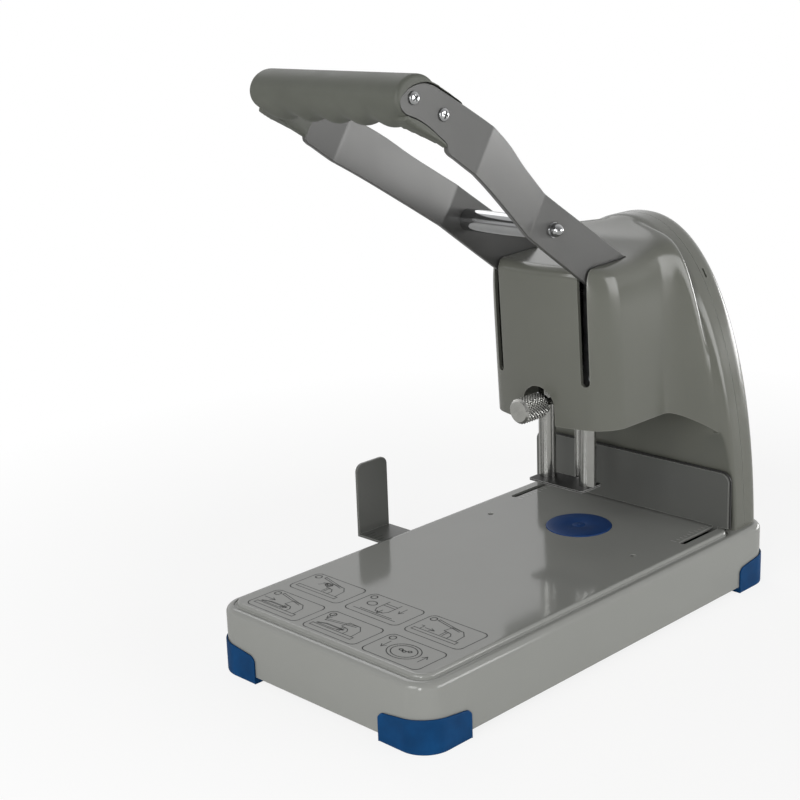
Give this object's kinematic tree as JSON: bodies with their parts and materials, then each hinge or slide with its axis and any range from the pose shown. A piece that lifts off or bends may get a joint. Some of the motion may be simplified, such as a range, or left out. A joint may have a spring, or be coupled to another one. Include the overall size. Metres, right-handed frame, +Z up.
{
  "type": "lever paper punch",
  "caption": "Desk paper punch: a long lever drives a punch down onto a turning pad in a long table base, with a sprung presser, a back gauge and a side guide.",
  "frame": {"origin": "point of the standing plane straight under the punch, in the middle of the width", "axes": "+X to the right seen from the front, +Y to the rear where the column stands, +Z up"},
  "size_m": [0.2525, 0.4205, 0.4459],
  "materials": {
    "table_enamel": "glossy grey stove enamel",
    "zinc_plate": "zinc-plated steel plate",
    "foot_rubber": "blue moulded rubber",
    "bright_screw": "nickel-plated",
    "ground_steel": "ground bright",
    "knurled_steel": "knurled and plated",
    "presser_steel": "plated sheet steel",
    "head_enamel": "glossy grey moulding",
    "arm_enamel": "satin dark grey paint",
    "bush_brass": "turned",
    "grip_plastic": "fine-textured moulding",
    "spring_steel": "drawn wire",
    "gauge_enamel": "satin grey paint",
    "slider_plastic": "moulded",
    "pad_plastic": "smooth moulded"
  },
  "bodies": {
    "base": {"base_shell": "table_enamel", "base_pan": "zinc_plate", "front_left_foot": "foot_rubber", "front_right_foot": "foot_rubber", "rear_left_foot": "foot_rubber", "rear_right_foot": "foot_rubber", "floor_screws": "bright_screw", "frame_foot": "zinc_plate", "left_frame_plate": "zinc_plate", "right_frame_plate": "zinc_plate", "frame_ties": "zinc_plate", "frame_bolts": "bright_screw", "guide_block": "zinc_plate", "spring_bar": "zinc_plate", "rest_rod": "ground_steel", "pivot_shaft": "ground_steel", "pivot_rings": "ground_steel", "pad_seat": "zinc_plate", "guide_rail": "zinc_plate", "front_cover": "head_enamel", "rear_cover": "head_enamel", "cover_screws": "bright_screw"},
    "lever": {"left_arm": "arm_enamel", "right_arm": "arm_enamel", "lever_bushes": "bush_brass", "drive_pin": "ground_steel", "drive_roller": "ground_steel", "pin_rings": "ground_steel", "spacer_tube": "bright_screw", "tie_bolt": "bright_screw", "dome_nuts": "bright_screw", "grip": "grip_plastic", "grip_screws": "bright_screw", "left_return_spring": "spring_steel", "right_return_spring": "spring_steel"},
    "ram": {"ram": "ground_steel", "punch": "ground_steel"},
    "knob": {"clamp_knob": "knurled_steel"},
    "presser": {"left_post": "ground_steel", "right_post": "ground_steel", "presser_plate": "presser_steel", "post_collars": "ground_steel", "left_presser_spring": "spring_steel", "right_presser_spring": "spring_steel"},
    "gauge": {"back_gauge": "gauge_enamel", "left_gauge_slider": "slider_plastic", "right_gauge_slider": "slider_plastic"},
    "side_guide": {"side_guide": "gauge_enamel"},
    "pad": {"cutting_pad": "pad_plastic"}
  },
  "joints": [
    {"name": "lever_swing", "type": "hinge", "parent": "base", "child": "lever", "pos_m": [0, 0.078, 0.2138], "axis": [1, 0, 0], "range_deg": [0, 33], "stiffness_Nm_per_rad": 8, "springref_deg": -28.65, "deforming": ["left_return_spring", "right_return_spring"]},
    {"name": "ram_slide", "type": "slide", "parent": "base", "child": "ram", "axis": [0, 0, -1], "range_m": [0, 0.04242]},
    {"name": "knob_turn", "type": "hinge", "parent": "ram", "child": "knob", "pos_m": [0, -0.06, 0.1708], "axis": [0, 1, 0], "continuous": true},
    {"name": "presser_slide", "type": "slide", "parent": "base", "child": "presser", "axis": [0, 0, -1], "range_m": [0, 0.04142], "deforming": ["left_presser_spring", "right_presser_spring"]},
    {"name": "gauge_slide", "type": "slide", "parent": "base", "child": "gauge", "axis": [0, -1, 0], "range_m": [0, 0.045]},
    {"name": "guide_slide", "type": "slide", "parent": "base", "child": "side_guide", "axis": [1, 0, 0], "range_m": [-0.055, 0.028]},
    {"name": "pad_turn", "type": "hinge", "parent": "base", "child": "pad", "pos_m": [0, 0, 0.05], "axis": [0, 0, 1], "continuous": true}
  ],
  "couplings": [
    {"joint": "ram_slide", "follows": "lever_swing", "m_per_rad": 0.073643},
    {"joint": "presser_slide", "follows": "lever_swing", "m_per_rad": 0.071907}
  ]
}
